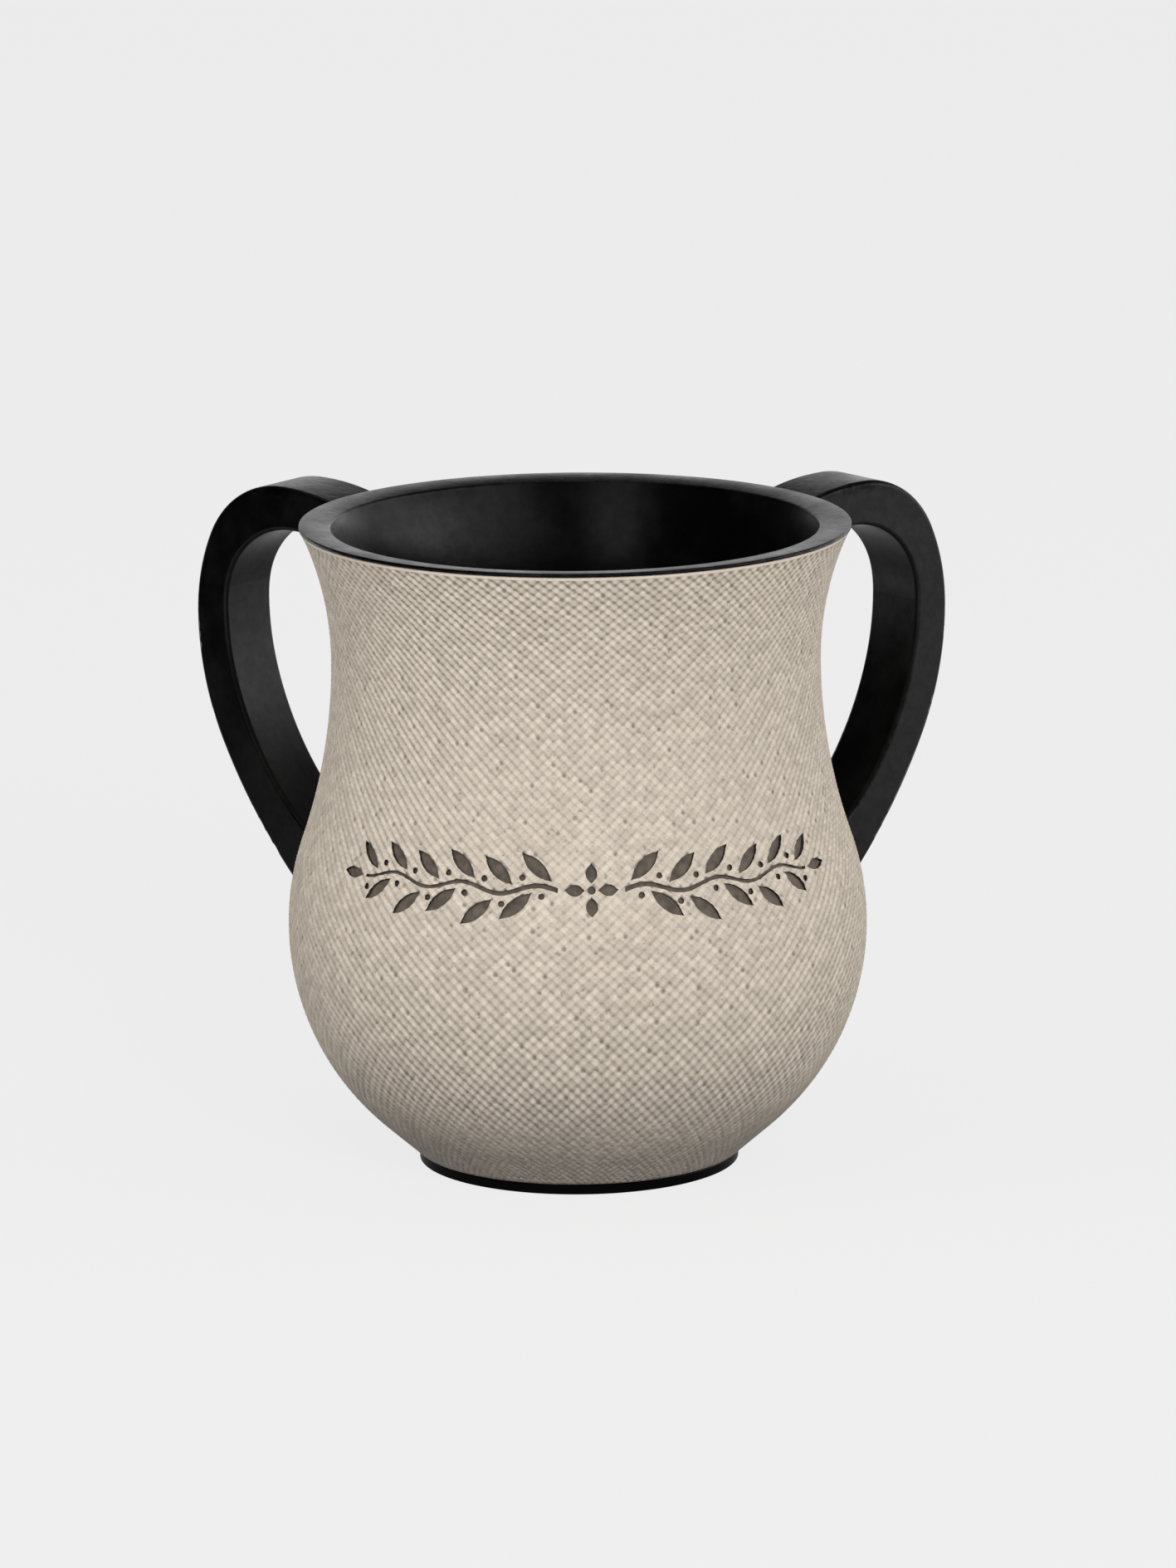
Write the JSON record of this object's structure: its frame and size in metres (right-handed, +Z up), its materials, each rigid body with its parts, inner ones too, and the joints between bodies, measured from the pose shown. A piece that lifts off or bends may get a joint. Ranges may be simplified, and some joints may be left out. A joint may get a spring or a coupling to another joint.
{
  "type": "hand washing cup",
  "caption": "Round-bellied pouring cup with a flared rim, a woven stone-coloured jacket, black liner and foot, and two swept bow handles.",
  "frame": {"origin": "centre of the foot's underside, on the surface that the cup stands on", "axes": "+Z up along the cup's axis; X across the two handles, right handle at +X; both handles sweep back towards +Y, so -Y is the front"},
  "size_m": [0.1534, 0.1185, 0.1311],
  "materials": {
    "black_resin": "satin",
    "woven_stone": "matte",
    "black_gloss": "gloss",
    "felt": "matte",
    "steel": "satin"
  },
  "bodies": {
    "root": {"inner_cup": "black_resin", "jacket": "woven_stone", "foot": "black_gloss", "base_pad": "felt", "right_handle": "black_resin", "right_upper_pin": "steel", "right_lower_pin": "steel", "left_handle": "black_resin", "left_upper_pin": "steel", "left_lower_pin": "steel"}
  },
  "joints": []
}
